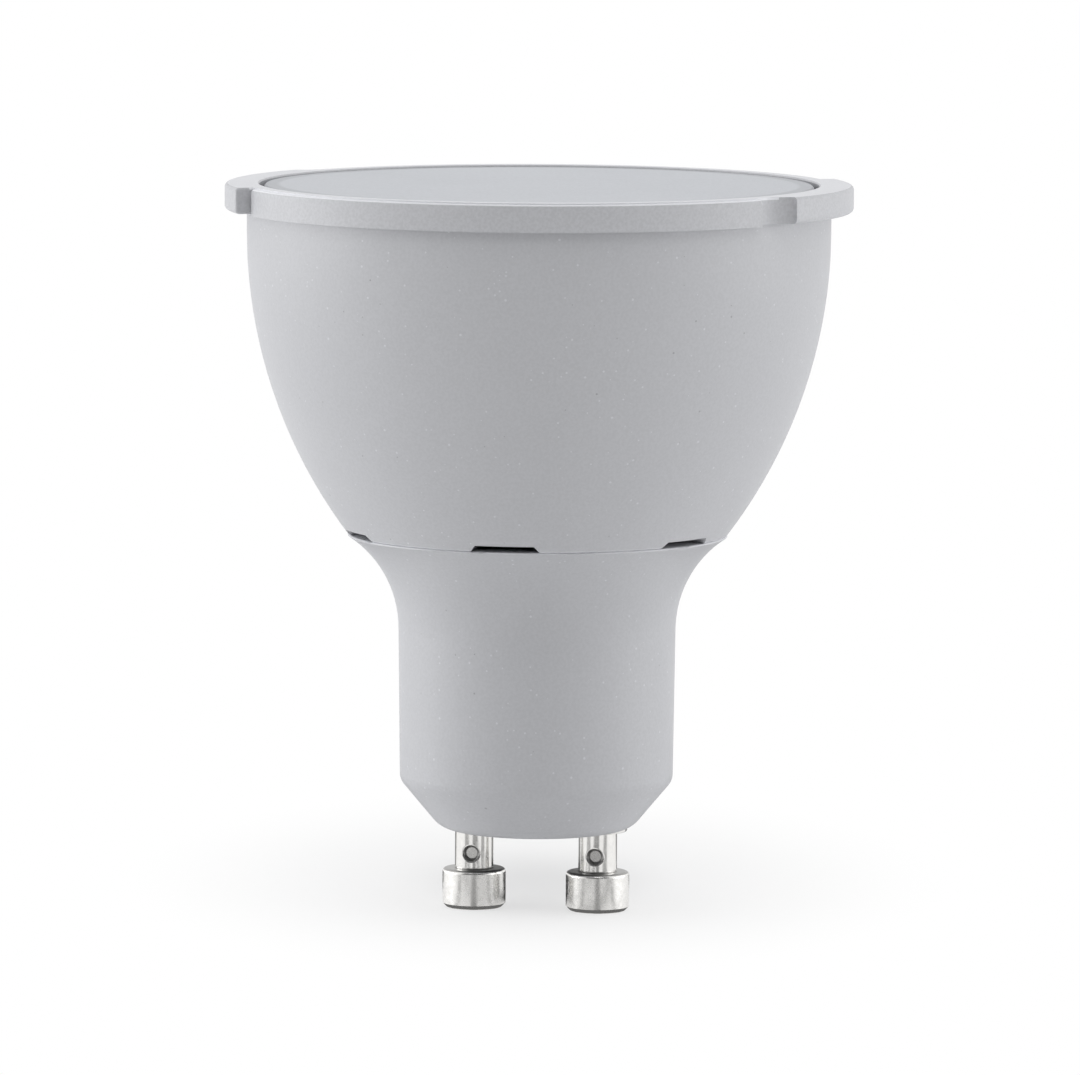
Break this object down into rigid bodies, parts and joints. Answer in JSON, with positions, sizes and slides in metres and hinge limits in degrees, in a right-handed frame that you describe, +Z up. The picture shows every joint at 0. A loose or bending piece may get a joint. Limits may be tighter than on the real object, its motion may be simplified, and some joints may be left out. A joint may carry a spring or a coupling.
{
  "type": "gu10 spotlight bulb",
  "caption": "Mains spotlight bulb with a bowl-shaped body, a necked base with two twist-and-lock pins, and a lugged front ring round a frosted disc.",
  "frame": {"origin": "midway between the ends of the two contact pins, on the plane they stand on", "axes": "+Z up the lamp's axis from the pins to the front disc, and the pins and the ring's lugs along X"},
  "size_m": [0.0498, 0.0474, 0.058],
  "materials": {
    "shell": "satin silver-grey moulding",
    "ring": "satin silver-grey moulding",
    "lens": "fine frosted",
    "pin": "bright nickel plate",
    "sheet_metal": "plain pressed sheet",
    "light_board": "white solder mask",
    "light_source": "phosphor",
    "screw": "zinc plate",
    "circuit_board": "green solder mask",
    "can": "shrink sleeve",
    "ferrite": "matt",
    "winding": "enamelled copper",
    "chip": "moulded case",
    "fuse": "lacquer",
    "lead_live": "insulation",
    "lead_neutral": "insulation"
  },
  "bodies": {
    "root": {"bowl_housing": "shell", "base_housing": "shell", "front_ring": "ring", "diffuser": "lens", "contact_pin_left": "pin", "contact_pin_right": "pin", "heat_spreader": "sheet_metal", "light_board": "light_board", "led_packages": "light_source", "board_screws": "screw", "driver_board": "circuit_board", "input_capacitor": "can", "output_capacitor": "can", "choke_core": "ferrite", "choke_winding": "winding", "bridge_rectifier": "chip", "driver_chip": "chip", "flyback_diode": "chip", "chip_resistors": "chip", "fusible_resistor": "fuse", "supply_lead_left": "lead_live", "supply_lead_right": "lead_neutral", "light_lead_left": "lead_live", "light_lead_right": "lead_neutral"}
  },
  "joints": []
}
